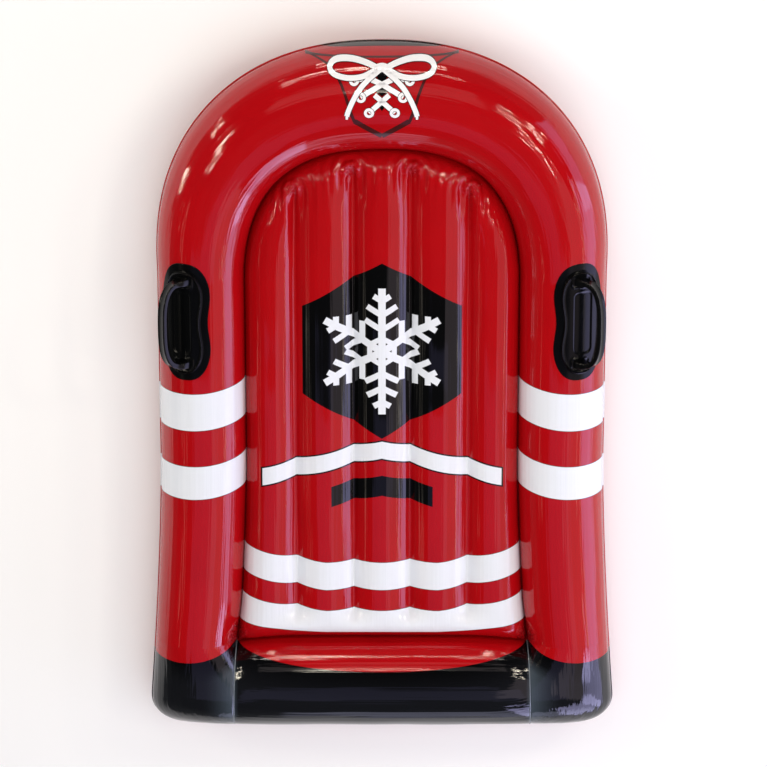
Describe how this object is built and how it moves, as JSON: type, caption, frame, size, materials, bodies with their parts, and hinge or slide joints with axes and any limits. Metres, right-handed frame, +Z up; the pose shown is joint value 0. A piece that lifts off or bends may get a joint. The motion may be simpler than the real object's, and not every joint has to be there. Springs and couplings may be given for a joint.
{
  "type": "inflatable snow sled",
  "caption": "Inflatable snow sled with a rounded nose, a blown-up ring, a channelled floor, two grab handles and two air valves.",
  "frame": {"origin": "middle of the sled's box in plan, on the surface that it lies on", "axes": "+Y towards the rounded nose, +X to the rider's right hand when the rider faces the nose, +Z up"},
  "size_m": [0.8338, 1.27, 0.2012],
  "materials": {
    "red_vinyl": "glossy printed film",
    "black_vinyl": "smooth moulded",
    "clear_vinyl": "soft clear moulded"
  },
  "bodies": {
    "sled": {"tube_top_skin": "red_vinyl", "tube_bottom_skin": "red_vinyl", "bolster_top_skin": "red_vinyl", "bolster_bottom_skin": "red_vinyl", "floor_top_sheet": "red_vinyl", "floor_bottom_sheet": "red_vinyl", "floor_web_1": "red_vinyl", "floor_web_2": "red_vinyl", "floor_web_3": "red_vinyl", "floor_web_4": "red_vinyl", "handle_left_patch": "black_vinyl", "handle_left_base": "black_vinyl", "handle_left_grip": "black_vinyl", "handle_right_patch": "black_vinyl", "handle_right_base": "black_vinyl", "handle_right_grip": "black_vinyl", "tube_valve_flange": "clear_vinyl", "floor_valve_flange": "clear_vinyl"},
    "tube_stem": {"tube_valve_stem": "clear_vinyl"},
    "tube_plug": {"tube_valve_plug": "clear_vinyl"},
    "tube_flap": {"tube_valve_flap": "clear_vinyl"},
    "floor_stem": {"floor_valve_stem": "clear_vinyl"},
    "floor_plug": {"floor_valve_plug": "clear_vinyl"},
    "floor_flap": {"floor_valve_flap": "clear_vinyl"}
  },
  "joints": [
    {"name": "tube_valve_pull", "type": "slide", "parent": "sled", "child": "tube_stem", "axis": [0, -0.8816, -0.472], "range_m": [0, 0.006]},
    {"name": "tube_plug_open", "type": "hinge", "parent": "tube_stem", "child": "tube_plug", "pos_m": [0.151, -0.62767, 0.04044], "axis": [0, 0.472, -0.8816], "range_deg": [0, 150]},
    {"name": "tube_flap_open", "type": "hinge", "parent": "tube_stem", "child": "tube_flap", "pos_m": [0.1546, -0.61128, 0.04922], "axis": [0, -0.472, 0.8816], "range_deg": [0, 60], "stiffness_Nm_per_rad": 0.00003, "springref_deg": -22.92},
    {"name": "floor_valve_pull", "type": "slide", "parent": "sled", "child": "floor_stem", "axis": [0, 0, -1], "range_m": [0, 0.006]},
    {"name": "floor_plug_open", "type": "hinge", "parent": "floor_stem", "child": "floor_plug", "pos_m": [-0.009, -0.33, 0.03776], "axis": [0, 1, 0], "range_deg": [0, 150]},
    {"name": "floor_flap_open", "type": "hinge", "parent": "floor_stem", "child": "floor_flap", "pos_m": [-0.0054, -0.33, 0.05636], "axis": [0, -1, 0], "range_deg": [0, 60], "stiffness_Nm_per_rad": 0.00003, "springref_deg": -22.92}
  ]
}
